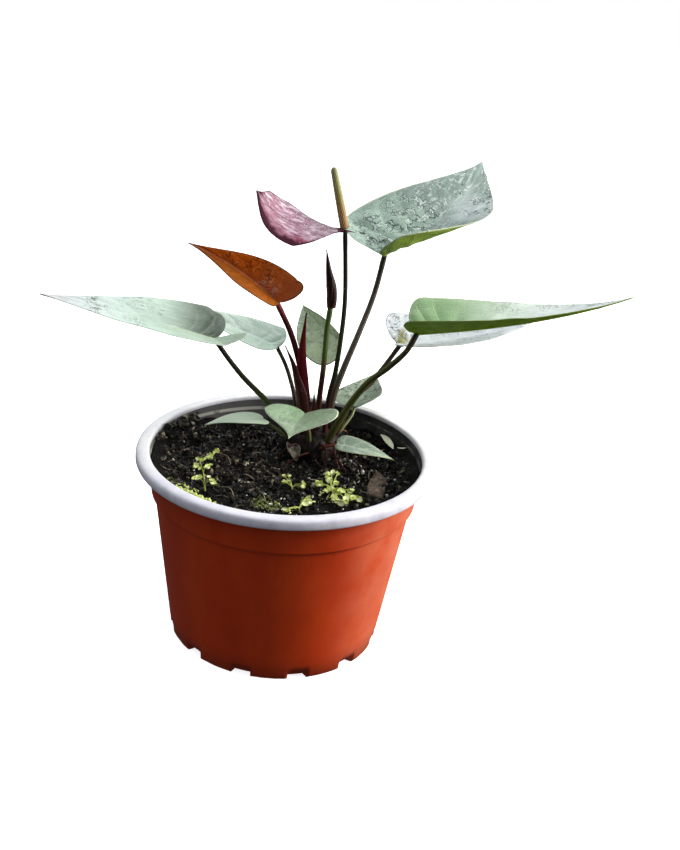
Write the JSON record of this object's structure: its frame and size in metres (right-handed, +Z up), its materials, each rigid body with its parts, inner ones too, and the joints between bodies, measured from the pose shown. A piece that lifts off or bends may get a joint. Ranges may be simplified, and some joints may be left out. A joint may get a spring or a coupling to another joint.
{
  "type": "potted anthurium",
  "caption": "Small anthurium with long heart-shaped leaves, one mauve flower and a bud, growing in a tapered plastic nursery pot of soil.",
  "frame": {"origin": "centre of the flat underside of the pot, on the surface that it stands on", "axes": "+Z up along the pot's axis, -Y towards the viewer of the picture, +X to the viewer's right"},
  "size_m": [0.2866, 0.1935, 0.2413],
  "materials": {
    "pot_plastic": "semi-gloss moulded terracotta plastic",
    "potting_soil": "crumbly bark and peat",
    "crown_stem": "rough stem",
    "leaf_sage": "satin waxy leaf, paler with bloom above",
    "leaf_green": "satin leaf, olive beneath",
    "leaf_orange": "glossy young leaf",
    "stalk_dark": "smooth dark stalk",
    "stalk_green": "smooth green stalk",
    "stalk_red": "smooth red stalk",
    "spathe_mauve": "satin veined bract",
    "spadix_cream": "fine bumps",
    "bud_maroon": "satin maroon",
    "sheath_red": "papery sheath",
    "seedling": "soft light green",
    "bark": "rough bark"
  },
  "bodies": {
    "root": {"pot": "pot_plastic", "soil": "potting_soil", "crown": "crown_stem", "leaf_upper_right_blade": "leaf_sage", "leaf_upper_right_stalk": "stalk_dark", "leaf_long_right_blade": "leaf_green", "leaf_long_right_stalk": "stalk_green", "leaf_second_right_blade": "leaf_sage", "leaf_second_right_stalk": "stalk_dark", "leaf_long_left_blade": "leaf_sage", "leaf_long_left_stalk": "stalk_green", "leaf_second_left_blade": "leaf_sage", "leaf_second_left_stalk": "stalk_dark", "leaf_young_blade": "leaf_orange", "leaf_young_stalk": "stalk_red", "leaf_back_blade": "leaf_sage", "leaf_back_stalk": "stalk_dark", "leaf_low_back_blade": "leaf_sage", "leaf_low_back_stalk": "seedling", "leaf_heart_blade": "leaf_sage", "leaf_heart_stalk": "stalk_green", "leaf_low_left_blade": "leaf_sage", "leaf_low_left_stalk": "stalk_green", "leaf_low_right_blade": "leaf_sage", "leaf_low_right_stalk": "stalk_red", "flower_spathe": "spathe_mauve", "flower_stalk": "stalk_dark", "flower_spadix": "spadix_cream", "bud": "bud_maroon", "bud_stalk": "stalk_green", "sheath_red": "sheath_red", "sheath_dark": "sheath_red", "sheath_short": "sheath_red", "weed_left": "seedling", "weed_left_back": "seedling", "weed_right": "seedling", "weed_middle": "seedling", "weed_front": "seedling", "bark_chip": "bark"}
  },
  "joints": []
}
